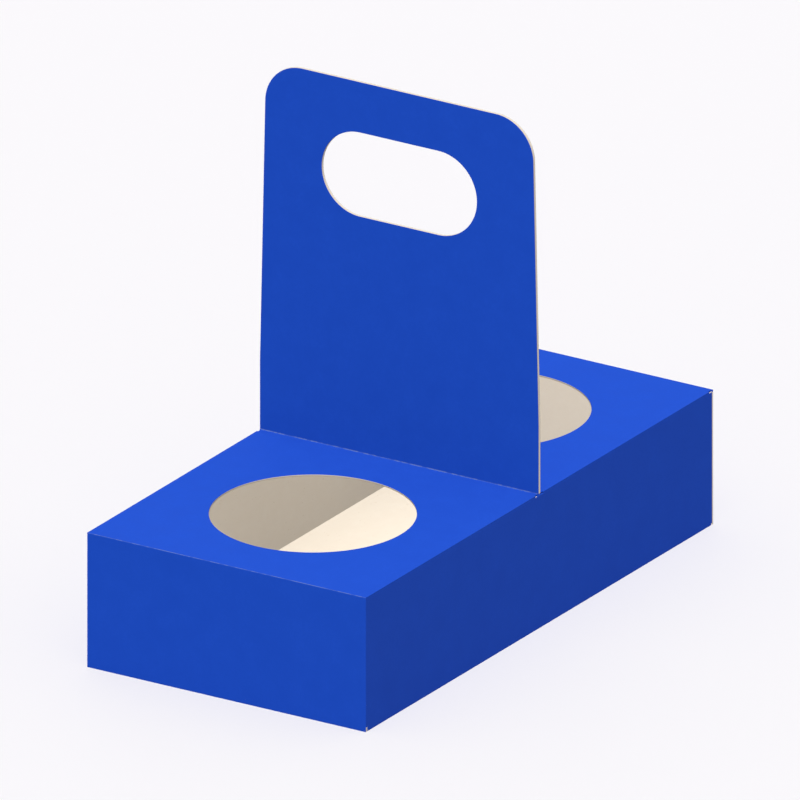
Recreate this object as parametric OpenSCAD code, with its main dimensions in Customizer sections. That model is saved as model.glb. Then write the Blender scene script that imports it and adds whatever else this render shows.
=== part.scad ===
// Two-cup carrier folded from one die-cut paperboard blank.
// X runs across the box, Y along it and Z up. The origin is at the middle of the underside.
// The blank is split at its creases: each panel is a flat plate and each fold a curved strip.

/* [Box] */
// Outside width, over the two side walls
box_w = 120; // [100:1:160]
// Outside length, over the two end panels
box_l = 239.4; // [210:0.2:300]
// Height from the table to the printed face of the decks
box_h = 53; // [40:0.5:80]

/* [Paperboard] */
// Thickness of the board
board = 0.6; // [0.4:0.05:0.8]
// Radius on the hollow side of a fold
fold_r = 0.1; // [0.05:0.05:0.3]
// Thickness of a film of adhesive
glue_t = 0.1; // [0.05:0.05:0.2]

/* [Cup holes] */
// Diameter of the hole that a cup drops through
cup_hole_d = 76; // [60:0.5:84]
// How far a cup hole lies from the middle of its deck, towards the handle
cup_hole_shift = 0; // [-4:0.5:4]

/* [Handle] */
// Height of the handle above the decks
handle_h = 145.8; // [130:0.1:180]
// Height of the handle's foot, which has straight sides
handle_foot_h = 26.7; // [10:0.1:50]
// How far each side has drawn in at the top
handle_inset = 2.6; // [0:0.1:8]
// Radius of the handle's top corners
handle_corner_r = 16; // [6:0.5:24]
// Space between the two halves of the handle
halves_gap = 0.1; // [0.05:0.05:0.3]

/* [Hand hole] */
// Length of the hand hole
hand_hole_l = 66.8; // [50:0.1:80]
// Height of the hand hole, which has round ends
hand_hole_h = 33.1; // [24:0.1:40]
// Height of the hole's middle above the decks
hand_hole_z = 109.4; // [90:0.1:112]

/* [Bottom flaps] */
// Width of the three glue flaps under the floor
flap_w = 18; // [12:0.5:24]
// Step in from the end of the crease to the end of a flap
flap_step = 1; // [0.6:0.1:2]
// Slope of a flap's end beside another flap
flap_mitre = 45; // [45:1:55]
// Slope of a flap's end beside the floor's own crease
flap_taper = 15; // [5:1:30]
// Radius of a flap's two free corners
flap_corner_r = 2.5; // [1:0.5:4]
// Width of the band of adhesive on a bottom flap
flap_glue_w = 9; // [6:0.5:10]
// Space between the floor's cut edges and the walls
floor_play = 0.5; // [0.2:0.1:1]

/* [Side seam] */
// Width of the tab that closes the four walls into a ring
tab_w = 15; // [12:0.5:20]
// Slope of the tab's two ends
tab_taper = 15; // [5:1:25]
// Radius of the tab's two free corners
tab_corner_r = 2.5; // [1:0.5:4]
// Space between the tab's ends and the floor and decks
tab_clear = 0.8; // [0.4:0.1:2]
// Width of the band of adhesive on the tab
tab_glue_w = 8; // [5:0.5:9]

/* [Reliefs] */
// Height of the relief at the foot of a corner crease
corner_relief_h = 1.8; // [1.6:0.1:3]
// How far that relief cuts into the side wall
corner_relief_w = 0.4; // [0.2:0.1:1]
// Length of the relief in a deck's edge beside a crease
deck_relief_l = 2; // [1:0.1:4]
// Depth of the relief in a deck's edge
deck_relief_w = 0.5; // [0.3:0.1:1]
// Space between the decks and the side walls under them
deck_rest_gap = 0.1; // [0.05:0.05:0.3]

/* [Hidden] */

$fn = 96;
least_arc_steps = 8;
arc_steps_per_mm = 1.5;

// Faces and levels that several panels share
side_x = box_w / 2;
end_y = box_l / 2;
bend_r = board + fold_r;
floor_z = board + glue_t;
floor_top = floor_z + board;
wall_top = box_h - board - deck_rest_gap;
crease_top = min(wall_top, box_h - bend_r);
tab_y = end_y - board - glue_t;
handle_y = halves_gap / 2 + board;
deck_from = end_y - bend_r;
deck_to = handle_y + fold_r;
cup_hole_y = (end_y + handle_y) / 2 - cup_hole_shift;
overlap = 1;

print_blue = [0.13, 0.30, 0.74];
shade_blue = [0.14, 0.26, 0.62];
inner_cream = [1.00, 0.95, 0.85];
fold_blue = [0.20, 0.37, 0.80];
dry_glue = [0.93, 0.91, 0.84];

function unit(v) = v / norm(v);

// A corner of an outline, rounded to radius r by points along the arc, or left sharp
function rounded_corner(before, at, after, r) =
    let (
        back = unit(before - at),
        ahead = unit(after - at),
        half = acos(back * ahead) / 2,
        centre = at + unit(back + ahead) * r / sin(half),
        first = at + back * r / tan(half) - centre,
        last = at + ahead * r / tan(half) - centre,
        sweep = 180 - 2 * half,
        steps = max(least_arc_steps, ceil(r * arc_steps_per_mm))
    )
    r == 0 ? [at] : [
        for (i = [0 : steps])
            centre + (first * sin(sweep * (1 - i / steps))
                + last * sin(sweep * i / steps)) / sin(sweep)
    ];

// Outline through the points, with a radius for each corner, zero for a sharp one
module rounded(points, radii) {
    n = len(points);
    polygon([
        for (i = [0 : n - 1])
            each rounded_corner(
                points[(i + n - 1) % n], points[i], points[(i + 1) % n], radii[i])
    ]);
}

// Board lying flat, with its underside at height z
module flat_plate(z) {
    translate([0, 0, z]) linear_extrude(board) children();
}

// Board standing across the box: outline x, z, with its back face at y
module cross_plate(y) {
    translate([0, y, 0]) rotate([90, 0, 0]) linear_extrude(board) children();
}

// Board standing along the box: outline y, z, with its inner face at x
module long_plate(x) {
    translate([x, 0, 0]) rotate([90, 0, 90]) linear_extrude(board) children();
}

// Section of a right-angled fold, in the quarter where both coordinates are positive
module fold_section() {
    intersection() {
        difference() {
            circle(r = bend_r);
            circle(r = fold_r);
        }
        square(bend_r + overlap);
    }
}

// Fold that runs upwards from z0 to z1 round a corner at x, y, turned by a
module corner_fold(x, y, z0, z1, a) {
    translate([x, y, z0]) rotate([0, 0, a]) linear_extrude(z1 - z0) fold_section();
}

// Fold that runs across the box from x0 to x1, with its centre at y, z, turned by a
module cross_fold(x0, x1, y, z, a) {
    translate([x0, y, z]) rotate([90, 0, 90]) rotate([0, 0, a])
        linear_extrude(x1 - x0) fold_section();
}

// Fold that runs along the box from y0 to y1, with its centre at x, z, turned by a
module long_fold(y0, y1, x, z, a) {
    translate([x, y1, z]) rotate([90, 0, 0]) rotate([0, 0, a])
        linear_extrude(y1 - y0) fold_section();
}

// The rear half of the carrier is the front half turned round
module turned() {
    rotate([0, 0, 180]) children();
}

// Walls

// End panel from x0 to x1, with a toe at each foot, where the corner crease stops
module end_outline(x0, x1) {
    translate([x0, bend_r]) square([x1 - x0, box_h - 2 * bend_r]);
    for (toe_x = [-side_x, side_x - bend_r])
        translate([toe_x, 0]) square([bend_r, corner_relief_h]);
}

module front_end_panel() {
    color(print_blue) cross_plate(-end_y + board)
        end_outline(-side_x + bend_r, side_x - bend_r);
}

module rear_end_panel() {
    color(print_blue) cross_plate(end_y) end_outline(-side_x + bend_r, side_x);
}

module right_side_wall() {
    y0 = -end_y + bend_r;
    y1 = tab_y - bend_r;
    color(shade_blue) long_plate(side_x - board) difference() {
        translate([y0, bend_r]) square([y1 - y0, wall_top - bend_r]);
        translate([y0 - overlap, bend_r - overlap])
            square([overlap + corner_relief_w, overlap + corner_relief_h - bend_r]);
    }
}

module left_side_wall() {
    y1 = end_y - bend_r;
    z0 = floor_z + bend_r;
    color(shade_blue) long_plate(-side_x)
        translate([-y1, z0]) square([2 * y1, wall_top - z0]);
}

module front_right_crease() {
    color(fold_blue) corner_fold(
        side_x - bend_r, -end_y + bend_r, corner_relief_h, crease_top, -90);
}

module front_left_crease() {
    color(fold_blue) corner_fold(
        -side_x + bend_r, -end_y + bend_r, corner_relief_h, crease_top, 180);
}

module rear_left_crease() {
    color(fold_blue) corner_fold(
        -side_x + bend_r, end_y - bend_r, corner_relief_h, crease_top, 90);
}

// Side seam: a tab on the right wall, glued to the inside of the rear end panel

tab_z0 = floor_top + tab_clear;
tab_z1 = wall_top - tab_clear;
tab_root_x = side_x - bend_r;
tab_slope = tab_w * tan(tab_taper);

module side_seam_tab() {
    color(print_blue) cross_plate(tab_y) rounded(
        [
            [tab_root_x, tab_z0],
            [tab_root_x, tab_z1],
            [tab_root_x - tab_w, tab_z1 - tab_slope],
            [tab_root_x - tab_w, tab_z0 + tab_slope]
        ],
        [0, 0, tab_corner_r, tab_corner_r]
    );
}

module side_seam_crease() {
    color(fold_blue) corner_fold(tab_root_x, tab_y - bend_r, bend_r, wall_top, 0);
}

// The band of adhesive lies in the middle of the tab, between its sloping ends
module side_seam_glue() {
    glue_z0 = tab_z0 + tab_slope;
    color(dry_glue) translate([tab_root_x - (tab_w + tab_glue_w) / 2, tab_y, glue_z0])
        cube([tab_glue_w, glue_t, tab_z1 - tab_slope - glue_z0]);
}

// Floor: hinged on the left wall, with the three flaps glued under it

module floor_panel() {
    x0 = -side_x + bend_r;
    x1 = side_x - board - floor_play;
    y1 = end_y - board - floor_play;
    color(inner_cream) flat_plate(floor_z)
        translate([x0, -y1]) square([x1 - x0, 2 * y1]);
}

module floor_crease() {
    y1 = end_y - bend_r - corner_relief_w;
    color(fold_blue) long_fold(-y1, y1, -side_x + bend_r, floor_z + bend_r, 180);
}

// A flap of length l from its crease at v = 0, with the slope of its near and far ends
flap_reach = flap_w - bend_r;
module flap_outline(l, near, far) {
    rounded(
        [
            [flap_step, 0],
            [l - flap_step, 0],
            [l - flap_step - flap_reach * tan(far), flap_reach],
            [flap_step + flap_reach * tan(near), flap_reach]
        ],
        [0, 0, flap_corner_r, flap_corner_r]
    );
}

// The band of adhesive stops short of the flap's sloping ends
module flap_glue_outline(l, near, far) {
    v0 = (flap_reach - flap_glue_w) / 2;
    u0 = flap_step + flap_reach * tan(near);
    translate([u0, v0])
        square([l - flap_step - flap_reach * tan(far) - u0, flap_glue_w]);
}

end_flap_l = box_w - 2 * bend_r;
side_flap_l = tab_y + end_y - 2 * bend_r;

// An end flap is drawn at the front; its near end is the one on the left
module front_flap_place() {
    translate([-side_x + bend_r, -end_y + bend_r, 0]) children();
}

module right_flap_place() {
    translate([side_x - bend_r, -end_y + bend_r, 0]) rotate([0, 0, 90]) children();
}

module glue_film(z) {
    translate([0, 0, z]) linear_extrude(glue_t) children();
}

module front_bottom_flap() {
    color(print_blue) front_flap_place() flat_plate(0)
        flap_outline(end_flap_l, flap_taper, flap_mitre);
}

module rear_bottom_flap() {
    color(print_blue) turned() front_flap_place() flat_plate(0)
        flap_outline(end_flap_l, flap_mitre, flap_taper);
}

module right_bottom_flap() {
    color(shade_blue) right_flap_place() flat_plate(0)
        flap_outline(side_flap_l, flap_mitre, flap_mitre);
}

module front_flap_glue() {
    color(dry_glue) front_flap_place() glue_film(board)
        flap_glue_outline(end_flap_l, flap_taper, flap_mitre);
}

module rear_flap_glue() {
    color(dry_glue) turned() front_flap_place() glue_film(board)
        flap_glue_outline(end_flap_l, flap_mitre, flap_taper);
}

module right_flap_glue() {
    color(dry_glue) right_flap_place() glue_film(board)
        flap_glue_outline(side_flap_l, flap_mitre, flap_mitre);
}

module front_flap_crease() {
    x1 = side_x - bend_r;
    color(fold_blue) cross_fold(-x1, x1, -end_y + bend_r, bend_r, 180);
}

module rear_flap_crease() {
    color(fold_blue) turned() cross_fold(
        -side_x + bend_r, side_x - bend_r, -end_y + bend_r, bend_r, 180);
}

module right_flap_crease() {
    y0 = -end_y + bend_r + corner_relief_w;
    color(fold_blue) long_fold(y0, tab_y - bend_r, side_x - bend_r, bend_r, -90);
}

// Decks: each is hinged on its end panel and carries half of the handle

module front_deck_crease() {
    color(fold_blue) cross_fold(
        -side_x, side_x, -end_y + bend_r, box_h - bend_r, 90);
}

module rear_deck_crease() {
    color(fold_blue) turned() cross_fold(
        -side_x, side_x, -end_y + bend_r, box_h - bend_r, 90);
}

// Reliefs in both long edges of a deck, from y0 to y1
module deck_reliefs(y0, y1) {
    for (side = [-1, 1])
        translate([side * side_x, (y0 + y1) / 2])
            square([2 * deck_relief_w, y1 - y0], center = true);
}

module deck_outline(end_reliefs) {
    difference() {
        translate([-side_x, -deck_from]) square([box_w, deck_from - deck_to]);
        translate([0, -cup_hole_y]) circle(d = cup_hole_d);
        deck_reliefs(-deck_to - deck_relief_l, -deck_to + overlap);
        if (end_reliefs)
            deck_reliefs(-deck_from - overlap, -deck_from + deck_relief_l);
    }
}

module front_deck_panel() {
    color(print_blue) flat_plate(box_h - board) deck_outline(false);
}

module rear_deck_panel() {
    color(print_blue) turned() flat_plate(box_h - board) deck_outline(true);
}

module front_handle_crease() {
    color(fold_blue) cross_fold(-side_x, side_x, -deck_to, box_h + fold_r, -90);
}

module rear_handle_crease() {
    color(fold_blue) turned() cross_fold(
        -side_x, side_x, -deck_to, box_h + fold_r, -90);
}

// Handle: two equal halves back to back, each with its own hand hole

handle_top_x = side_x - handle_inset;
hand_hole_end_x = (hand_hole_l - hand_hole_h) / 2;

module handle_outline() {
    rounded(
        [
            [-side_x, fold_r],
            [side_x, fold_r],
            [side_x, handle_foot_h],
            [handle_top_x, handle_h],
            [-handle_top_x, handle_h],
            [-side_x, handle_foot_h]
        ],
        [0, 0, 0, handle_corner_r, handle_corner_r, 0]
    );
}

module hand_hole_outline() {
    translate([0, hand_hole_z])
        square([2 * hand_hole_end_x, hand_hole_h], center = true);
    for (side = [-1, 1])
        translate([side * hand_hole_end_x, hand_hole_z]) circle(d = hand_hole_h);
}

module handle_half() {
    translate([0, 0, box_h]) cross_plate(-halves_gap / 2) difference() {
        handle_outline();
        hand_hole_outline();
    }
}

module front_handle_panel() {
    color(print_blue) handle_half();
}

module rear_handle_panel() {
    color(print_blue) turned() handle_half();
}

front_end_panel();
right_side_wall();
left_side_wall();
rear_end_panel();
side_seam_tab();
floor_panel();
front_bottom_flap();
right_bottom_flap();
rear_bottom_flap();
front_right_crease();
front_left_crease();
rear_left_crease();
side_seam_crease();
floor_crease();
front_flap_crease();
right_flap_crease();
rear_flap_crease();
side_seam_glue();
front_flap_glue();
right_flap_glue();
rear_flap_glue();
front_deck_crease();
rear_deck_crease();
front_deck_panel();
rear_deck_panel();
front_handle_crease();
rear_handle_crease();
front_handle_panel();
rear_handle_panel();
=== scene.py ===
from math import acos, ceil, cos, pi, radians, sin, tan

import bmesh
import bpy
from mathutils import Matrix, Vector
from mathutils.geometry import tessellate_polygon


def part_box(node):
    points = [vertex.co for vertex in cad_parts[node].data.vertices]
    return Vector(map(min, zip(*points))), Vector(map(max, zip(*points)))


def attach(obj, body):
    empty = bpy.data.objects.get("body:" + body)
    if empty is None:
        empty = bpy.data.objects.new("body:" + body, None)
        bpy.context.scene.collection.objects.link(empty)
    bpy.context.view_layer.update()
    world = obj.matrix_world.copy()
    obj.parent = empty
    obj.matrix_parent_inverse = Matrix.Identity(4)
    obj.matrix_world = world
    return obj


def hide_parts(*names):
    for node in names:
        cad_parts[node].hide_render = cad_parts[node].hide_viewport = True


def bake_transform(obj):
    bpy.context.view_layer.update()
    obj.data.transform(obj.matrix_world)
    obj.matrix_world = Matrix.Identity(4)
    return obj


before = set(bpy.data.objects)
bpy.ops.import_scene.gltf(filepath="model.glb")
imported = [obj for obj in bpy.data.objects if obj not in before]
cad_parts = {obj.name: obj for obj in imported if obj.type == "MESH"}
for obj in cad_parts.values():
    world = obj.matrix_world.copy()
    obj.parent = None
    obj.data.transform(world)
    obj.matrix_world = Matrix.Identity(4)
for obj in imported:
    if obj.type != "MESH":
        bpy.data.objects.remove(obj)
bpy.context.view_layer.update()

collection = bpy.context.scene.collection

# Camera
# The photograph is a parallel view from 32 degrees right of the front and 22 degrees up.
# One of its pixels is 0.3652 mm, from edges measured to about a tenth of a pixel.

MM = 0.001
PIXEL = 0.3652 * MM
PIXELS_ACROSS = 800
AIM_HEIGHT = 77.04 * MM
AIM_LEFT = 0.148 * PIXEL
azimuth = radians(32)
elevation = radians(22)
to_camera = Vector((
    sin(azimuth) * cos(elevation),
    -cos(azimuth) * cos(elevation),
    sin(elevation),
))
to_right = Vector((cos(azimuth), sin(azimuth), 0))

camera_data = bpy.data.cameras.new("camera")
camera_data.type = "ORTHO"
camera_data.ortho_scale = PIXELS_ACROSS * PIXEL
camera = bpy.data.objects.new("camera", camera_data)
camera.location = Vector((0, 0, AIM_HEIGHT)) - AIM_LEFT * to_right + to_camera
camera.rotation_euler = to_camera.to_track_quat("Z", "Y").to_euler()
collection.objects.link(camera)
bpy.context.scene.camera = camera
bpy.context.scene.view_settings.view_transform = "Standard"

# Floor and light
# A seamless sheet of pale studio paper under a large soft source at the upper front.
# The light throws no hard shadow, so the insides stay lit; the sky dome shades the floor.

STUDIO_PAPER = "#FAF9FC"
STUDIO_PAPER_LIT = "#F9F7FA"
FLOOR_REACH = 4.0


def linear(hex_colour):
    """An sRGB hex colour as the linear RGBA that a socket takes."""
    values = [int(hex_colour[i:i + 2], 16) / 255 for i in (1, 3, 5)]
    return tuple(
        v / 12.92 if v <= 0.04045 else ((v + 0.055) / 1.055) ** 2.4 for v in values
    ) + (1,)


def add(tree, kind, inputs=None, **settings):
    """Add a node with its settings; an input given as a socket is linked, else set.

    A colour Mix node takes its share in socket 0 and its two colours in 6 and 7, and gives
    the result from output 2."""
    node = tree.nodes.new(kind)
    for name, value in settings.items():
        setattr(node, name, value)
    for key, value in (inputs or {}).items():
        if isinstance(value, bpy.types.NodeSocket):
            tree.links.new(value, node.inputs[key])
        else:
            node.inputs[key].default_value = value
    return node


def empty_tree(owner):
    """Give a material or a world an empty node tree and return the tree."""
    owner.use_nodes = True
    owner.node_tree.nodes.clear()
    return owner.node_tree


def seen_directly(tree):
    """One for what the camera, gloss and glass see, zero for what lights the object."""
    path = add(tree, "ShaderNodeLightPath")
    seen = path.outputs["Is Camera Ray"]
    for name in ("Is Glossy Ray", "Is Transmission Ray"):
        seen = add(
            tree, "ShaderNodeMath", {0: seen, 1: path.outputs[name]}, operation="MAXIMUM"
        ).outputs[0]
    return seen


floor_paper = bpy.data.materials.new("studio_paper")
tree = empty_tree(floor_paper)
paper_face = add(tree, "ShaderNodeBsdfDiffuse", {"Color": linear(STUDIO_PAPER_LIT)})
paper_back = add(tree, "ShaderNodeBsdfTransparent")
paper_side = add(tree, "ShaderNodeNewGeometry")
paper = add(tree, "ShaderNodeMixShader", {
    0: paper_side.outputs["Backfacing"],
    1: paper_face.outputs[0], 2: paper_back.outputs[0]})
add(tree, "ShaderNodeOutputMaterial", {"Surface": paper.outputs[0]})

floor_mesh = bpy.data.meshes.new("studio_floor")
floor_mesh.from_pydata(
    [(x * FLOOR_REACH, y * FLOOR_REACH, 0)
     for x, y in ((-1, -1), (1, -1), (1, 1), (-1, 1))],
    [], [(0, 1, 2, 3)])
floor_mesh.materials.append(floor_paper)
studio_floor = bpy.data.objects.new("studio_floor", floor_mesh)
collection.objects.link(studio_floor)

world = bpy.data.worlds.new("studio_dome")
tree = empty_tree(world)
dome_light = add(
    tree, "ShaderNodeBackground", {"Color": (1, 1, 1, 1), "Strength": 0.25})
dome_seen = add(
    tree, "ShaderNodeBackground", {"Color": linear(STUDIO_PAPER), "Strength": 1.0})
dome = add(tree, "ShaderNodeMixShader", {
    0: seen_directly(tree), 1: dome_light.outputs[0], 2: dome_seen.outputs[0]})
add(tree, "ShaderNodeOutputWorld", {"Surface": dome.outputs[0]})
bpy.context.scene.world = world

# A sun of pi times its strength lights a face that is square to it to that share of white.
for name, strength, towards in (
    ("key_light", 0.92, (0.275, -0.52, 0.824)),
    ("back_fill_light", 0.30, (-0.6, 0.8, 0.0)),
):
    light = bpy.data.lights.new(name, "SUN")
    light.energy = pi * strength
    light.angle = radians(40)
    light.use_shadow = False
    light.cycles.max_bounces = 0
    lamp = bpy.data.objects.new(name, light)
    lamp.rotation_euler = Vector(towards).to_track_quat("Z", "Y").to_euler()
    lamp.visible_glossy = False
    collection.objects.link(lamp)

# A broad lamp under the decks stands in for the light that bounces round the tray. It isn't
# bounced on itself, so the bare board doesn't turn yellower inside than it is outside.
tray_light = bpy.data.lights.new("tray_light", "AREA")
tray_light.shape = "RECTANGLE"
tray_light.size = 110 * MM
tray_light.size_y = 230 * MM
tray_light.energy = 0.032
tray_light.cycles.max_bounces = 0
tray_light.cycles.use_multiple_importance_sampling = False
tray_lamp = bpy.data.objects.new("tray_light", tray_light)
tray_lamp.location = (0, 0, 51.5 * MM)
tray_lamp.visible_camera = False
tray_lamp.visible_glossy = False
collection.objects.link(tray_lamp)

# Walls
# Four panels of one sheet of 0.6 mm paperboard, printed blue outside and left bare inside.
# A die cuts and scores the sheet; every panel here ends at the score lines round it.

BOARD = 0.6 * MM
FOLD_R = 0.1 * MM
BEND_R = BOARD + FOLD_R
# The knife rounds the edge where it goes in and leaves a burr where it comes out.
KNIFE_SHOULDER = 0.08 * MM
KNIFE_BURR = 0.03 * MM
KNIFE_MARGIN = 0.1 * MM
BURR_MARGIN = 0.15 * MM
INK_LIP = 0.09 * MM
RUB_W = 0.16 * MM
# Points closer than this are one point, and a bend less than this is shaded as a curve.
TOUCHING = 0.001 * MM
CURVED_BELOW = radians(50)
# Sizes in outlines are in mm, as on the die's drawing: the toes beside the bottom folds,
# the notch beside the right wall's fold, and the inked part of its top edge. The rest of
# that edge is bare, and shows as a pale dot through the relief in front of the handle.
TOE_H = 1.8
NOTCH_W = 0.4
TOP_INK_FRONT_Y = -1.4
TOP_INK_REAR_Y = 2.8
# Plies in the thickness of the board.
PLIES = 4


def spots(tree, size_mm, detail, stretch=(1, 1, 1)):
    """Cloudy spots about size_mm across, fixed to the piece: a value close round a half."""
    place = add(tree, "ShaderNodeTexCoord")
    scaled = add(tree, "ShaderNodeMapping", {
        "Vector": place.outputs["Object"],
        "Scale": [1 / (size_mm * MM * s) for s in stretch],
    })
    return add(tree, "ShaderNodeTexNoise", {
        "Vector": scaled.outputs[0], "Scale": 1.0, "Detail": detail}).outputs["Fac"]


# Litho print on clay-coated board under a matt water-based varnish: dense, even and nearly
# without gloss. The ink lies a little cloudy, and the fibres show through as a fine tooth,
# drawn at 1.3 mm because the real 0.3 mm is too fine to show.
litho_print = bpy.data.materials.new("litho_print_matt_varnish")
tree = empty_tree(litho_print)
cloud = spots(tree, 9, 3)
grain = spots(tree, 1.3, 2)
cloudy = add(tree, "ShaderNodeMix", {
    0: cloud, 6: linear("#1B50CF"), 7: linear("#255CE0")}, data_type="RGBA")
grainy = add(tree, "ShaderNodeMix", {
    0: grain, 6: cloudy.outputs[2], 7: linear("#1E52D2")}, data_type="RGBA")
varnish = add(tree, "ShaderNodeMath", {
    0: cloud, 1: 0.25, 2: 0.625}, operation="MULTIPLY_ADD")
tooth = add(tree, "ShaderNodeBump", {
    "Strength": 0.12, "Distance": 0.02 * MM, "Height": grain})
ink = add(tree, "ShaderNodeBsdfPrincipled", {
    "Base Color": grainy.outputs[2],
    "Roughness": varnish.outputs[0],
    "Specular IOR Level": 0.02,
    "Sheen Weight": 0.04,
    "Sheen Roughness": 0.5,
    "Normal": tooth.outputs[0]})
add(tree, "ShaderNodeOutputMaterial", {"Surface": ink.outputs[0]})

# The bare back of the board: unbleached enough to look cream, soft and quite dull, with
# long fibres lying mostly one way and a few darker specks.
bare_back = bpy.data.materials.new("uncoated_paperboard_back")
tree = empty_tree(bare_back)
felt = spots(tree, 5, 4)
fibre = spots(tree, 1.6, 3, (1, 3, 1))
speck = spots(tree, 0.8, 1)
felted = add(tree, "ShaderNodeMix", {
    0: felt, 6: linear("#F8EBD7"), 7: linear("#FFF5E5")}, data_type="RGBA")
fibrous = add(tree, "ShaderNodeMix", {
    0: fibre, 6: felted.outputs[2], 7: linear("#F9ECDA")}, data_type="RGBA")
speck_here = add(tree, "ShaderNodeMapRange", {
    "Value": speck, "From Min": 0.74, "From Max": 0.80, "To Min": 0.0, "To Max": 0.5})
specked = add(tree, "ShaderNodeMix", {
    0: speck_here.outputs[0], 6: fibrous.outputs[2], 7: linear("#C9B48F")},
    data_type="RGBA")
nap = add(tree, "ShaderNodeBump", {
    "Strength": 0.25, "Distance": 0.03 * MM, "Height": fibre})
back = add(tree, "ShaderNodeBsdfPrincipled", {
    "Base Color": specked.outputs[2],
    "Roughness": 0.9,
    "Specular IOR Level": 0.1,
    "Normal": nap.outputs[0]})
add(tree, "ShaderNodeOutputMaterial", {"Surface": back.outputs[0]})

# The cut edge: plies of pressed fibre, smooth where the knife went in and torn further down.
# Its attribute "depth" runs from the printed side, 0, to the bare side, 1.
cut_edge = bpy.data.materials.new("die_cut_paperboard_edge")
tree = empty_tree(cut_edge)
depth = add(tree, "ShaderNodeAttribute", attribute_name="depth")
ragged = spots(tree, 0.9, 3)
ply = add(tree, "ShaderNodeMath", {
    0: depth.outputs["Fac"], 1: PLIES * 2 * pi}, operation="MULTIPLY")
ply_wave = add(tree, "ShaderNodeMath", {0: ply.outputs[0]}, operation="SINE")
ply_shade = add(tree, "ShaderNodeMath", {
    0: ply_wave.outputs[0], 1: ragged}, operation="MULTIPLY")
ply_mix = add(tree, "ShaderNodeMapRange", {
    "Value": ply_shade.outputs[0], "From Min": -0.6, "From Max": 0.6,
    "To Min": 0.0, "To Max": 1.0})
plies = add(tree, "ShaderNodeMix", {
    0: ply_mix.outputs[0], 6: linear("#E8DBC7"), 7: linear("#F7EDDC")},
    data_type="RGBA")
tear = add(tree, "ShaderNodeBump", {
    "Strength": 0.3, "Distance": 0.03 * MM, "Height": ragged})
edge = add(tree, "ShaderNodeBsdfPrincipled", {
    "Base Color": plies.outputs[2],
    "Roughness": 0.95,
    "Specular IOR Level": 0.1,
    "Normal": tear.outputs[0]})
add(tree, "ShaderNodeOutputMaterial", {"Surface": edge.outputs[0]})

# Ink worn off the high ridges beside a score, in short dashes where the board has flexed.
rubbed_ink = litho_print.copy()
rubbed_ink.name = "litho_print_rubbed_beside_score"
tree = rubbed_ink.node_tree
ink = next(n for n in tree.nodes if n.type == "BSDF_PRINCIPLED")
flexed = spots(tree, 2.4, 2)
worn = add(tree, "ShaderNodeMapRange", {
    "Value": flexed, "From Min": 0.44, "From Max": 0.56, "To Min": 0.1, "To Max": 0.42})
worn_ink = add(tree, "ShaderNodeMix", {
    0: worn.outputs[0], 6: ink.inputs["Base Color"].links[0].from_socket,
    7: linear("#C4D2CA")}, data_type="RGBA")
tree.links.new(worn_ink.outputs[2], ink.inputs["Base Color"])

PRINTED, BARE, CUT, RUBBED = 0, 1, 2, 3
SHEET_FINISHES = (litho_print, bare_back, cut_edge, rubbed_ink)

# The finish of the bands round a panel's edge, from the printed side to the bare side: the
# print's margin, the knife's shoulder in two, the thickness, the burr, and its margin.
BAND_FINISHES = {
    "cut": (PRINTED, PRINTED, PRINTED, CUT, BARE, BARE),
    "inked": (PRINTED, PRINTED, PRINTED, PRINTED, PRINTED, PRINTED),
    "fold": (PRINTED, PRINTED, PRINTED, PRINTED, BARE, BARE),
    "rubbed fold": (RUBBED, PRINTED, PRINTED, PRINTED, BARE, BARE),
}


def cut_line(corners):
    """An outline's points, each with the kind of the edge after it, with arcs at corners.

    A corner is (u, v, radius, kind) in mm. The kinds are cut; inked, where the knife drew the
    ink down over the edge; fold; and rubbed fold, where the ink beside the score is worn."""
    line = []
    for i, (u, v, radius, kind) in enumerate(corners):
        at = Vector((u, v)) * MM
        if radius == 0:
            line.append((at, kind))
            continue
        before = Vector(corners[i - 1][:2]) * MM
        after = Vector(corners[(i + 1) % len(corners)][:2]) * MM
        back, ahead = (before - at).normalized(), (after - at).normalized()
        half = acos(back.dot(ahead)) / 2
        centre = at + (back + ahead).normalized() * radius * MM / sin(half)
        first = at + back * radius * MM / tan(half) - centre
        last = at + ahead * radius * MM / tan(half) - centre
        sweep = pi - 2 * half
        steps = max(8, ceil(2 * radius))  # one for each half mm of radius, or 8
        for k in range(steps + 1):
            point = centre + (
                first * sin(sweep * (1 - k / steps)) + last * sin(sweep * k / steps)
            ) / sin(sweep)
            line.append((point, kind if k == steps else "cut"))
    return line


def drawn_in(line, from_cut, from_rub):
    """The line's points moved into the board by the amounts for cut edges and rubbed folds."""
    amounts = {"cut": from_cut, "inked": from_cut, "rubbed fold": from_rub, "fold": 0.0}
    moved = []
    for i, (at, kind) in enumerate(line):
        before, kind_before = line[i - 1]
        after = line[(i + 1) % len(line)][0]
        arriving, leaving = (at - before).normalized(), (after - at).normalized()
        n1, n2 = Vector((-arriving.y, arriving.x)), Vector((-leaving.y, leaving.x))
        d1, d2 = amounts[kind_before], amounts[kind]
        cross = n1.x * n2.y - n1.y * n2.x
        if abs(cross) < 0.001:  # the two edges are in line
            moved.append(at + (n1 * d1 + n2 * d2) / 2)
        else:
            moved.append(at + Vector((d1 * n2.y - d2 * n1.y, n1.x * d2 - n2.x * d1)) / cross)
    return moved


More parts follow.
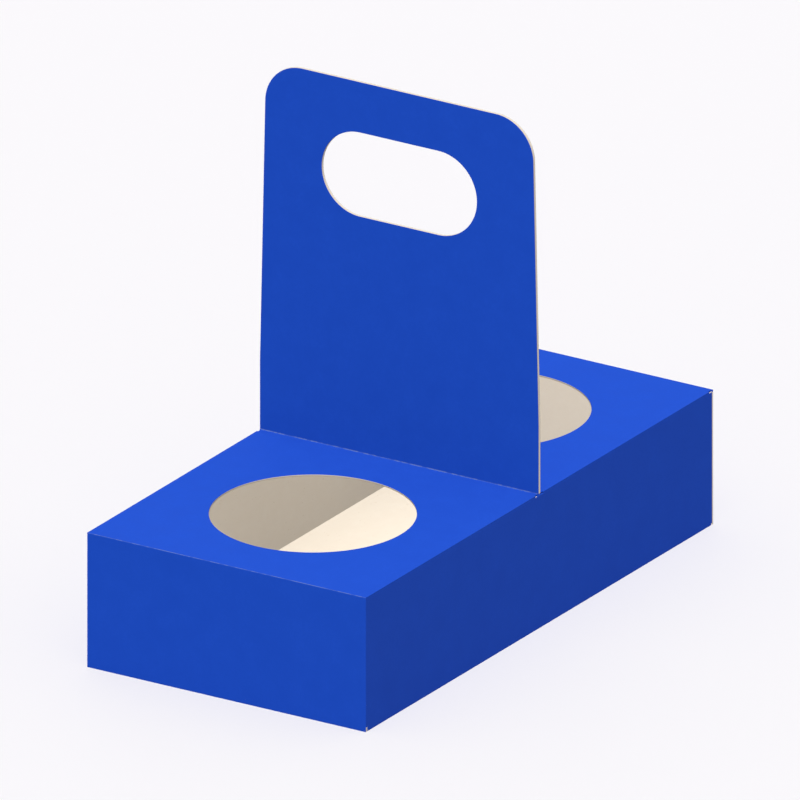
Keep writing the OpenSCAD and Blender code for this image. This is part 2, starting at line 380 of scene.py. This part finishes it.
def board_panel(node, body, lines, place):
    """A flat panel that stands for a CAD node. The first line is its outline, turning left,
    and the others its holes, turning right. place(u, v, depth) gives a point in the frame,
    with the depth measured from the printed side. A ring is a depth, how far it is drawn in
    from cut edges and from rubbed folds, and how far an inked edge's lip hangs there."""
    slant = KNIFE_SHOULDER * (1 - cos(pi / 4))
    rings = (
        (0.0, KNIFE_MARGIN, RUB_W, 0.0),
        (0.0, KNIFE_SHOULDER, 0.0, 0.0),
        (slant, slant, 0.0, 0.0),
        (KNIFE_SHOULDER, 0.0, 0.0, 0.0),
        (BOARD - KNIFE_BURR, 0.0, 0.0, INK_LIP),
        (BOARD, KNIFE_BURR, 0.0, INK_LIP),
        (BOARD, BURR_MARGIN, 0.0, 0.0),
    )
    bm = bmesh.new()
    ply_depth = bm.verts.layers.float.new("depth")
    printed_face, bare_face = [], []
    for line in lines:
        levels = []
        for depth, from_cut, from_rub, lip in rings:
            level = []
            for i, p in enumerate(drawn_in(line, from_cut, from_rub)):
                hangs = "inked" in (line[i - 1][1], line[i][1])
                vert = bm.verts.new(place(p.x, p.y, depth + (lip if hangs else 0)))
                vert[ply_depth] = depth / BOARD
                level.append(vert)
            levels.append(level)
        printed_face.append(levels[0])
        bare_face.append(levels[-1])
        for number in range(len(rings) - 1):
            upper, lower = levels[number], levels[number + 1]
            for i, (at, kind) in enumerate(line):
                j = (i + 1) % len(line)
                side = bm.faces.new((upper[i], upper[j], lower[j], lower[i]))
                side.smooth = number > 0
                side.material_index = BAND_FINISHES[kind][number]
    for face, finish in ((printed_face, PRINTED), (bare_face, BARE)):
        verts = [v for level in face for v in level]
        for triangle in tessellate_polygon([[v.co for v in level] for level in face]):
            flat = bm.faces.new([verts[i] for i in triangle])
            flat.material_index = finish
    bmesh.ops.remove_doubles(bm, verts=bm.verts, dist=TOUCHING)
    bmesh.ops.recalc_face_normals(bm, faces=bm.faces)
    for e in bm.edges:
        flat_beside = any(not f.smooth for f in e.link_faces)
        e.smooth = not flat_beside and e.calc_face_angle(0) < CURVED_BELOW
    finished_piece(bm, f"{node}_board", node, body)


def finished_piece(bm, name, node, body):
    """Turn a bmesh into a piece of printed board that stands for its CAD node."""
    mesh = bpy.data.meshes.new(name)
    bm.to_mesh(mesh)
    bm.free()
    for finish in SHEET_FINISHES:
        mesh.materials.append(finish)
    piece = bpy.data.objects.new(name, mesh)
    collection.objects.link(piece)
    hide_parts(node)
    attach(piece, body)


def mm_box(node):
    """A node's lowest and highest corners in mm."""
    low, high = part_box(node)
    return Vector(low) / MM, Vector(high) / MM


low, high = mm_box("front_end_panel")
bend = BEND_R / MM
front_y = low.y * MM
front_line = cut_line([
    (low.x, low.z, 0, "cut"),
    (low.x + bend, low.z, 0, "cut"),
    (low.x + bend, bend, 0, "fold"),
    (high.x - bend, bend, 0, "cut"),
    (high.x - bend, low.z, 0, "cut"),
    (high.x, low.z, 0, "cut"),
    (high.x, TOE_H, 0, "cut"),
    (high.x - bend, TOE_H, 0, "fold"),
    (high.x - bend, high.z, 0, "fold"),
    (low.x + bend, high.z, 0, "fold"),
    (low.x + bend, TOE_H, 0, "cut"),
    (low.x, TOE_H, 0, "cut"),
])
board_panel("front_end_panel", "box", [front_line],
            lambda u, v, d: (u, front_y + d, v))

low, high = mm_box("rear_end_panel")
rear_y = high.y * MM
rear_line = cut_line([
    (low.x, low.z, 0, "cut"),
    (low.x + bend, low.z, 0, "cut"),
    (low.x + bend, bend, 0, "fold"),
    (high.x - bend, bend, 0, "cut"),
    (high.x - bend, low.z, 0, "cut"),
    (high.x, low.z, 0, "cut"),
    (high.x, high.z, 0, "fold"),
    (low.x + bend, high.z, 0, "fold"),
    (low.x + bend, TOE_H, 0, "cut"),
    (low.x, TOE_H, 0, "cut"),
])
board_panel("rear_end_panel", "box", [rear_line],
            lambda u, v, d: (u, rear_y - d, v))

low, high = mm_box("right_side_wall")
right_x = high.x * MM
right_line = cut_line([
    (low.y + NOTCH_W, low.z, 0, "fold"),
    (high.y, low.z, 0, "fold"),
    (high.y, high.z, 0, "cut"),
    (TOP_INK_REAR_Y, high.z, 0, "inked"),
    (TOP_INK_FRONT_Y, high.z, 0, "cut"),
    (low.y, high.z, 0, "fold"),
    (low.y, TOE_H, 0, "cut"),
    (low.y + NOTCH_W, TOE_H, 0, "cut"),
])
board_panel("right_side_wall", "box", [right_line],
            lambda u, v, d: (right_x - d, u, v))

low, high = mm_box("left_side_wall")
left_x = low.x * MM
left_line = cut_line([
    (low.y, low.z, 0, "fold"),
    (high.y, low.z, 0, "fold"),
    (high.y, high.z, 0, "cut"),
    (low.y, high.z, 0, "fold"),
])
board_panel("left_side_wall", "box", [left_line],
            lambda u, v, d: (left_x + d, u, v))

# Corner folds
# The score lines at three corners, where the sheet turns a right angle. The rule presses a
# groove in the print and raises a bead inside, so the board bends round a tight arc.

def tree_with_inputs(name, result, inputs):
    """A Geometry Nodes tree with named inputs, and the sockets that bring them in."""
    tree = bpy.data.node_groups.new(name, "GeometryNodeTree")
    face = tree.interface
    face.new_socket(result, in_out="OUTPUT", socket_type="NodeSocketGeometry")
    for label, kind in inputs:
        face.new_socket(label, in_out="INPUT", socket_type=f"NodeSocket{kind}")
    return tree, add(tree, "NodeGroupInput").outputs


def made_by(tree, name, values, start=None):
    """An object with the plain mesh that a tree makes, out of the mesh start if given."""
    piece = bpy.data.objects.new(name, start or bpy.data.meshes.new(name))
    collection.objects.link(piece)
    modifier = piece.modifiers.new(tree.name, "NODES")
    modifier.node_group = tree
    for item in tree.interface.items_tree:
        if item.in_out == "INPUT" and item.name in values:
            modifier[item.identifier] = values[item.name]
    bpy.context.view_layer.update()
    seen = piece.evaluated_get(bpy.context.evaluated_depsgraph_get())
    mesh = bpy.data.meshes.new_from_object(seen)
    piece.modifiers.remove(modifier)
    mesh.name = name
    piece.data = mesh
    return piece


def fold_tree():
    """A tree that bends a strip of board through a right angle round the Z axis."""
    tree, given = tree_with_inputs("bent_strip_of_board", "Strip", (
        ("Length", "Float"), ("Hollow radius", "Float"), ("Board", "Float"),
        ("Sharpness", "Float"), ("Steps", "Int"), ("Outside", "Material"),
        ("Inside", "Material"), ("Ends", "Material"), ("Joints", "Material")))
    # A section as thick as the board is swept round a quarter circle, along its middle.
    middle = add(tree, "ShaderNodeMath", {
        0: given["Board"], 1: 0.5, 2: given["Hollow radius"]}, operation="MULTIPLY_ADD")
    points = add(tree, "ShaderNodeMath", {0: given["Steps"], 1: 1.0}, operation="ADD")
    arc = add(tree, "GeometryNodeCurveArc", {
        "Resolution": points.outputs[0], "Radius": middle.outputs[0],
        "Start Angle": 0.0, "Sweep Angle": pi / 2}, mode="RADIUS")
    along = add(tree, "GeometryNodeSplineParameter")
    marked = add(tree, "GeometryNodeStoreNamedAttribute", {
        "Geometry": arc.outputs[0], "Name": "turn", "Value": along.outputs["Factor"]},
        data_type="FLOAT", domain="POINT")
    section = add(tree, "GeometryNodeCurvePrimitiveQuadrilateral", {
        "Width": given["Board"], "Height": given["Length"]})
    strip = add(tree, "GeometryNodeCurveToMesh", {
        "Curve": marked.outputs[0], "Profile Curve": section.outputs[0],
        "Fill Caps": True})
    # "across" is 1 on the ridge side, further out than the middle, and 0 on the hollow side.
    turned = add(tree, "GeometryNodeInputNamedAttribute", {"Name": "turn"},
                 data_type="FLOAT").outputs[0]
    place = add(tree, "GeometryNodeInputPosition")
    flat = add(tree, "ShaderNodeVectorMath", {
        0: place.outputs[0], 1: (1, 1, 0)}, operation="MULTIPLY")
    radius = add(tree, "ShaderNodeVectorMath", {0: flat.outputs[0]}, operation="LENGTH")
    is_outer = add(tree, "ShaderNodeMath", {
        0: radius.outputs["Value"], 1: middle.outputs[0]}, operation="GREATER_THAN")
    deep = add(tree, "GeometryNodeStoreNamedAttribute", {
        "Geometry": strip.outputs[0], "Name": "across", "Value": is_outer.outputs[0]},
        data_type="FLOAT", domain="POINT")
    across = add(tree, "GeometryNodeInputNamedAttribute", {"Name": "across"},
                 data_type="FLOAT").outputs[0]
    # Each point is placed again by its angle. On the ridge side its radius is drawn out
    # towards a square corner, as far as the sharpness says.
    angle = add(tree, "ShaderNodeMath", {
        0: turned, 1: pi / 2}, operation="MULTIPLY")
    x = add(tree, "ShaderNodeMath", {0: angle.outputs[0]}, operation="COSINE")
    y = add(tree, "ShaderNodeMath", {0: angle.outputs[0]}, operation="SINE")
    larger = add(tree, "ShaderNodeMath", {
        0: x.outputs[0], 1: y.outputs[0]}, operation="MAXIMUM")
    to_corner = add(tree, "ShaderNodeMath", {
        0: 1.0, 1: larger.outputs[0]}, operation="DIVIDE")
    beyond = add(tree, "ShaderNodeMath", {
        0: to_corner.outputs[0], 1: 1.0}, operation="SUBTRACT")
    pinched = add(tree, "ShaderNodeMath", {
        0: beyond.outputs[0], 1: given["Sharpness"]}, operation="MULTIPLY")
    stretch = add(tree, "ShaderNodeMath", {
        0: pinched.outputs[0], 1: across, 2: 1.0}, operation="MULTIPLY_ADD")
    round_r = add(tree, "ShaderNodeMath", {
        0: given["Board"], 1: across, 2: given["Hollow radius"]},
        operation="MULTIPLY_ADD")
    true_r = add(tree, "ShaderNodeMath", {
        0: round_r.outputs[0], 1: stretch.outputs[0]}, operation="MULTIPLY")
    height = add(tree, "ShaderNodeSeparateXYZ", {0: place.outputs[0]})
    way = add(tree, "ShaderNodeCombineXYZ", {0: x.outputs[0], 1: y.outputs[0]})
    flung = add(tree, "ShaderNodeVectorMath", {
        0: way.outputs[0], "Scale": true_r.outputs[0]}, operation="SCALE")
    level = add(tree, "ShaderNodeCombineXYZ", {2: height.outputs[2]})
    true_place = add(tree, "ShaderNodeVectorMath", {
        0: flung.outputs[0], 1: level.outputs[0]}, operation="ADD")
    creased = add(tree, "GeometryNodeSetPosition", {
        "Geometry": deep.outputs[0], "Position": true_place.outputs[0]})
    # "depth" lays out the plies on the cut ends. Then each side gets its own finish.
    depth = add(tree, "ShaderNodeMath", {0: 1.0, 1: across}, operation="SUBTRACT")
    plied = add(tree, "GeometryNodeStoreNamedAttribute", {
        "Geometry": creased.outputs[0], "Name": "depth", "Value": depth.outputs[0]},
        data_type="FLOAT", domain="POINT")
    whole = add(tree, "GeometryNodeRealizeInstances", {"Geometry": plied.outputs[0]})
    joint = add(tree, "ShaderNodeMath", {0: turned, 1: 0.5}, operation="SUBTRACT")
    at_joint = add(tree, "ShaderNodeMath", {0: joint.outputs[0]}, operation="ABSOLUTE")
    layer = whole.outputs[0]
    for finish, measure, operation, limit in (
        ("Ends", across, "GREATER_THAN", -1.0),
        ("Outside", across, "GREATER_THAN", 0.9),
        ("Inside", across, "LESS_THAN", 0.1),
        ("Joints", at_joint.outputs[0], "GREATER_THAN", 0.499),
    ):
        here = add(tree, "ShaderNodeMath", {0: measure, 1: limit}, operation=operation)
        layer = add(tree, "GeometryNodeSetMaterial", {
            "Geometry": layer, "Selection": here.outputs[0], "Material": given[finish],
        }).outputs[0]
    add(tree, "NodeGroupOutput", {"Strip": layer})
    return tree


bent_strip = fold_tree()
STEPS_ROUND_A_FOLD = 32
LEFT, RIGHT, FRONT, REAR, UP, DOWN = (
    (-1, 0, 0), (1, 0, 0), (0, -1, 0), (0, 1, 0), (0, 0, 1), (0, 0, -1))


def scored_fold(node, start, end, bodies=("box",), outside=litho_print,
                inside=bare_back, ends=cut_edge, sharpness=0.85):
    """A fold that stands for a CAD node, turning from direction start to direction end.
    With two bodies its shape is baked into the frame, and it is attached to neither body."""
    low, high = (Vector(corner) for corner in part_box(node))
    start, end = Vector(start), Vector(end)
    along = start.cross(end)
    strip = made_by(bent_strip, f"{node}_fold", {
        "Length": abs(along.dot(high - low)), "Hollow radius": FOLD_R, "Board": BOARD,
        "Sharpness": sharpness, "Steps": STEPS_ROUND_A_FOLD, "Outside": outside,
        "Inside": inside, "Ends": ends, "Joints": litho_print,
    })
    mesh = strip.data
    turn = Matrix((start, end, along)).transposed().to_4x4()
    centre = (low + high) / 2 - (start + end) * BEND_R / 2
    mesh.transform(Matrix.Translation(centre) @ turn)
    bm = bmesh.new()
    bm.from_mesh(mesh)
    bmesh.ops.remove_doubles(bm, verts=bm.verts, dist=TOUCHING)
    bmesh.ops.recalc_face_normals(bm, faces=bm.faces)
    for f in bm.faces:
        f.smooth = True
    for e in bm.edges:
        e.smooth = e.calc_face_angle(0) < CURVED_BELOW
    bm.to_mesh(mesh)
    bm.free()
    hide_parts(node)
    if len(bodies) == 2:
        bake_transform(strip)
    else:
        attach(strip, *bodies)


scored_fold("front_right_crease", FRONT, RIGHT)
scored_fold("front_left_crease", LEFT, FRONT)
scored_fold("rear_left_crease", REAR, LEFT)

# Side seam
# A tab on the right wall, tucked inside the rear end panel and glued there: the one joint
# that closes the four walls. A folding and gluing machine makes it.

FLAP_CORNER_R = 2.5
FLAP_TAPER = tan(radians(15))
# The largest lump of squeezed-out glue, and how far from the tab's ends the lumps stop.
SQUEEZE_OUT = (1.8 * MM, 0.6 * MM, 0.4 * MM)
SQUEEZE_OUT_INSET = 9

low, high = mm_box("side_seam_tab")
tab_y = high.y * MM
tab_drop = (high.x - low.x) * FLAP_TAPER
tab_line = cut_line([
    (high.x, low.z, 0, "fold"),
    (high.x, high.z, 0, "cut"),
    (low.x, high.z - tab_drop, FLAP_CORNER_R, "cut"),
    (low.x, low.z + tab_drop, FLAP_CORNER_R, "cut"),
])
board_panel("side_seam_tab", "box", [tab_line], lambda u, v, d: (u, tab_y - d, v))
scored_fold("side_seam_crease", RIGHT, REAR)

# White resin glue, dried to a tough film that is nearly clear: faintly yellow, smooth and
# a little glossy, thinner in some places where the boards were pressed together.
dried_glue = bpy.data.materials.new("dried_pva_glue")
tree = empty_tree(dried_glue)
pressed = spots(tree, 2.5, 3)
film = add(tree, "ShaderNodeMix", {
    0: pressed, 6: linear("#E9DDBC"), 7: linear("#FDFBF3")}, data_type="RGBA")
shine = add(tree, "ShaderNodeMath", {
    0: pressed, 1: 0.5, 2: 0.1}, operation="MULTIPLY_ADD")
ripple = add(tree, "ShaderNodeBump", {
    "Strength": 0.4, "Distance": 0.03 * MM, "Height": pressed})
glue = add(tree, "ShaderNodeBsdfPrincipled", {
    "Base Color": film.outputs[2],
    "Roughness": shine.outputs[0],
    "IOR": 1.47,
    "Normal": ripple.outputs[0]})
add(tree, "ShaderNodeOutputMaterial", {"Surface": glue.outputs[0]})


def spread_glue(node):
    """Give a CAD glue film the finish of the dried glue."""
    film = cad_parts[node]
    for i in range(len(film.material_slots)):
        film.material_slots[i].material = dried_glue


spread_glue("side_seam_glue")


def lump_tree():
    """A tree that sets small rounded lumps along the lines of a piece."""
    tree, given = tree_with_inputs("lumps_along_a_line", "Lumps", (
        ("Line", "Geometry"), ("Count", "Int"), ("Size", "Vector"),
        ("Smallest", "Float"), ("Seed", "Int"), ("Finish", "Material")))
    curve = add(tree, "GeometryNodeMeshToCurve", {"Mesh": given["Line"]})
    places = add(tree, "GeometryNodeResampleCurve", {
        "Curve": curve.outputs[0], "Count": given["Count"]})
    tangent = add(tree, "GeometryNodeInputTangent")
    turned = add(tree, "FunctionNodeAlignRotationToVector", {
        "Vector": tangent.outputs[0]}, axis="X")
    lump = add(tree, "GeometryNodeMeshIcoSphere", {"Radius": 0.5, "Subdivisions": 2})
    chance = add(tree, "FunctionNodeRandomValue", {
        2: given["Smallest"], 3: 1.0, "Seed": given["Seed"]}, data_type="FLOAT")
    sized = add(tree, "ShaderNodeVectorMath", {
        0: given["Size"], "Scale": chance.outputs[1]}, operation="SCALE")
    set_out = add(tree, "GeometryNodeInstanceOnPoints", {
        "Points": places.outputs[0], "Instance": lump.outputs[0],
        "Rotation": turned.outputs[0], "Scale": sized.outputs[0]})
    real = add(tree, "GeometryNodeRealizeInstances", {"Geometry": set_out.outputs[0]})
    finished = add(tree, "GeometryNodeSetMaterial", {
        "Geometry": real.outputs[0], "Material": given["Finish"]})
    add(tree, "NodeGroupOutput", {"Lumps": finished.outputs[0]})
    return tree


lumps_along_a_line = lump_tree()


def lumps(name, body, line, count, size, smallest, seed, finish):
    """Lumps of size (along, across, through) in metres, count of them along a line of points.
    The smallest is that share of the largest."""
    mesh = bpy.data.meshes.new(name)
    mesh.from_pydata(line, [(i, i + 1) for i in range(len(line) - 1)], [])
    piece = made_by(lumps_along_a_line, name, {
        "Count": count, "Size": size, "Smallest": smallest, "Seed": seed,
        "Finish": finish}, mesh)
    piece.data.shade_smooth()
    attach(piece, body)


# Where the tab was pressed home, a little glue has crept out past its free edge.
free_edge = [
    (low.x * MM, tab_y, z * MM)
    for z in (low.z + SQUEEZE_OUT_INSET, high.z - SQUEEZE_OUT_INSET)
]
lumps("side_seam_glue_squeeze_out", "box", free_edge, count=14, size=SQUEEZE_OUT,
      smallest=0.35, seed=3, finish=dried_glue)

# Bottom
# The floor hangs from the left wall, and three flaps on the other walls are folded in
# under it and glued, their ends mitred so that they don't overlap at the corners.

low, high = mm_box("floor_panel")
floor_z = low.z * MM
floor_line = cut_line([
    (low.x, low.y, 0, "cut"),
    (high.x, low.y, 0, "cut"),
    (high.x, high.y, 0, "cut"),
    (low.x, high.y, 0, "fold"),
])
board_panel("floor_panel", "box", [floor_line], lambda u, v, d: (u, v, floor_z + d))
scored_fold("floor_crease", DOWN, LEFT)

for side, ahead in (("front", 1), ("rear", -1)):
    low, high = mm_box(f"{side}_bottom_flap")
    reach = high.y - low.y
    root = (low.y if ahead > 0 else high.y) * MM
    flap_line = cut_line([
        (low.x, 0, 0, "fold"),
        (high.x, 0, 0, "cut"),
        (high.x - reach, reach, FLAP_CORNER_R, "cut"),
        (low.x + reach * FLAP_TAPER, reach, FLAP_CORNER_R, "cut"),
    ])
    board_panel(f"{side}_bottom_flap", "box", [flap_line],
                lambda u, v, d: (u, root + ahead * v, d))
    spread_glue(f"{side}_flap_glue")

low, high = mm_box("right_bottom_flap")
reach = high.x - low.x
side_flap_line = cut_line([
    (high.x, low.y, 0, "fold"),
    (high.x, high.y, 0, "cut"),
    (low.x, high.y - reach, FLAP_CORNER_R, "cut"),
    (low.x, low.y + reach, FLAP_CORNER_R, "cut"),
])
board_panel("right_bottom_flap", "box", [side_flap_line], lambda u, v, d: (u, v, d))
spread_glue("right_flap_glue")

scored_fold("front_flap_crease", FRONT, DOWN)
scored_fold("rear_flap_crease", REAR, DOWN)
scored_fold("right_flap_crease", RIGHT, DOWN)

# Decks
# Each closes half of the box from above, hinged on its end panel, with a round hole that a
# cup drops through. Small reliefs in their edges free the ends of the folds.

RELIEF_L = 2.0
RELIEF_W = 0.5
CUP_HOLE_R = 38.0
CUP_HOLE_POINTS = 192

low, high = mm_box("front_deck_panel")
deck_top = high.z * MM
# A cup stands midway between the end panel and the handle.
cup_y = (front_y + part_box("front_handle_panel")[0][1]) / 2 / MM


def cup_hole(v):
    """A cup hole's line with its centre v mm behind the middle, turning right."""
    turns = [-2 * pi * k / CUP_HOLE_POINTS for k in range(CUP_HOLE_POINTS)]
    return [
        (Vector((CUP_HOLE_R * cos(a), v + CUP_HOLE_R * sin(a))) * MM, "cut") for a in turns
    ]


def on_deck(u, v, depth):
    """A point in the frame, for both decks."""
    return u, v, deck_top - depth


front_deck_line = cut_line([
    (low.x, low.y, 0, "fold"),
    (high.x, low.y, 0, "inked"),
    (high.x, high.y - RELIEF_L, 0, "inked"),
    (high.x - RELIEF_W, high.y - RELIEF_L, 0, "inked"),
    (high.x - RELIEF_W, high.y, 0, "rubbed fold"),
    (low.x + RELIEF_W, high.y, 0, "inked"),
    (low.x + RELIEF_W, high.y - RELIEF_L, 0, "inked"),
    (low.x, high.y - RELIEF_L, 0, "inked"),
])
board_panel("front_deck_panel", "front_deck", [front_deck_line, cup_hole(cup_y)], on_deck)

low, high = mm_box("rear_deck_panel")
rear_deck_line = cut_line([
    (low.x + RELIEF_W, low.y, 0, "rubbed fold"),
    (high.x - RELIEF_W, low.y, 0, "inked"),
    (high.x - RELIEF_W, low.y + RELIEF_L, 0, "inked"),
    (high.x, low.y + RELIEF_L, 0, "inked"),
    (high.x, high.y - RELIEF_L, 0, "inked"),
    (high.x - RELIEF_W, high.y - RELIEF_L, 0, "inked"),
    (high.x - RELIEF_W, high.y, 0, "fold"),
    (low.x + RELIEF_W, high.y, 0, "inked"),
    (low.x + RELIEF_W, high.y - RELIEF_L, 0, "inked"),
    (low.x, high.y - RELIEF_L, 0, "inked"),
    (low.x, low.y + RELIEF_L, 0, "inked"),
    (low.x + RELIEF_W, low.y + RELIEF_L, 0, "inked"),
])
board_panel("rear_deck_panel", "rear_deck", [rear_deck_line, cup_hole(-cup_y)], on_deck)

# Nicks: the die leaves a few hair-wide bridges that hold the waste in until it is pushed
# out, and each tears to a nub of fibre on the cut edge. They are drawn about twice as long
# as the real 0.3 mm so that they show.
NICK = (0.6 * MM, 0.2 * MM, 0.4 * MM)


def hole_nicks(body, hole, place, count, seed):
    """Torn nicks round a hole, halfway through the board."""
    rim = [place(p.x, p.y, BOARD / 2) for p, kind in hole]
    lumps(f"{body}_hole_nicks", body, rim, count, NICK,
          smallest=0.5, seed=seed, finish=cut_edge)


hole_nicks("front_deck", cup_hole(cup_y), on_deck, count=6, seed=6)
hole_nicks("rear_deck", cup_hole(-cup_y), on_deck, count=6, seed=4)

# Ink stretched over the ridge of a fold that is worked each time the carrier is packed: the
# same print, finely cracked along the middle, where the coating shows as a broken pale line.
# "turn" runs 0 to 1 round the fold.
cracked_ink = litho_print.copy()
cracked_ink.name = "litho_print_cracked_over_score"
tree = cracked_ink.node_tree
ink = next(n for n in tree.nodes if n.type == "BSDF_PRINCIPLED")
turn = add(tree, "ShaderNodeAttribute", attribute_name="turn")
from_middle = add(tree, "ShaderNodeMath", {
    0: turn.outputs["Fac"], 1: 0.5}, operation="SUBTRACT")
off = add(tree, "ShaderNodeMath", {0: from_middle.outputs[0]}, operation="ABSOLUTE")
near = add(tree, "ShaderNodeMapRange", {
    "Value": off.outputs[0], "From Min": 0.0, "From Max": 0.1,
    "To Min": 1.0, "To Max": 0.0})
broken = add(tree, "ShaderNodeMapRange", {
    "Value": spots(tree, 2.2, 3), "From Min": 0.44, "From Max": 0.56,
    "To Min": 0.15, "To Max": 0.42})
crack = add(tree, "ShaderNodeMath", {
    0: near.outputs[0], 1: broken.outputs[0]}, operation="MULTIPLY")
cracked = add(tree, "ShaderNodeMix", {
    0: crack.outputs[0], 6: ink.inputs["Base Color"].links[0].from_socket,
    7: linear("#C8D8CE")}, data_type="RGBA")
tree.links.new(cracked.outputs[2], ink.inputs["Base Color"])

scored_fold("front_deck_crease", FRONT, UP, ("box", "front_deck"),
            cracked_ink, ends=litho_print)
scored_fold("rear_deck_crease", REAR, UP, ("box", "rear_deck"),
            cracked_ink, ends=litho_print)

# Handle
# Two equal halves back to back, one on each deck, with round-ended hand holes that meet.
# Their folds are hollow on the printed side, so the bead lies under the decks.

HAND_HOLE_L = 66.8
HAND_HOLE_H = 33.1
HAND_HOLE_Z = 162.4
HAND_HOLE_END_STEPS = 48
HANDLE_FOOT_Z = 79.7
HANDLE_INSET = 2.6
HANDLE_CORNER_R = 16.0
# The halves stand 0.1 mm from each other, with their prints outwards.
HANDLE_HALF_Y = BOARD + 0.05 * MM


def hand_hole():
    """The hand hole's line, with straight sides and round ends, turning right."""
    radius = HAND_HOLE_H / 2
    reach = HAND_HOLE_L / 2 - radius
    line = []
    for side, first in ((1, 90), (-1, -90)):
        for k in range(HAND_HOLE_END_STEPS + 1):
            a = radians(first - 180 * k / HAND_HOLE_END_STEPS)
            u, v = side * reach + radius * cos(a), HAND_HOLE_Z + radius * sin(a)
            line.append((Vector((u, v)) * MM, "cut"))
    return line


for half, outer, away, seed in (
    ("front_handle", -HANDLE_HALF_Y, 1, 10), ("rear_handle", HANDLE_HALF_Y, -1, 8),
):
    def on_handle(u, v, depth):
        """A point in the frame, for this half."""
        return u, outer + away * depth, v

    low, high = mm_box(f"{half}_panel")
    handle_line = cut_line([
        (low.x, low.z, 0, "rubbed fold"),
        (high.x, low.z, 0, "cut"),
        (high.x, HANDLE_FOOT_Z, 0, "cut"),
        (high.x - HANDLE_INSET, high.z, HANDLE_CORNER_R, "cut"),
        (low.x + HANDLE_INSET, high.z, HANDLE_CORNER_R, "cut"),
        (low.x, HANDLE_FOOT_Z, 0, "cut"),
    ])
    board_panel(f"{half}_panel", half, [handle_line, hand_hole()], on_handle)
    hole_nicks(half, hand_hole(), on_handle, count=5, seed=seed)

scored_fold("front_handle_crease", DOWN, REAR, ("front_deck", "front_handle"),
            bare_back, cracked_ink, litho_print, 0.0)
scored_fold("rear_handle_crease", DOWN, FRONT, ("rear_deck", "rear_handle"),
            bare_back, cracked_ink, litho_print, 0.0)
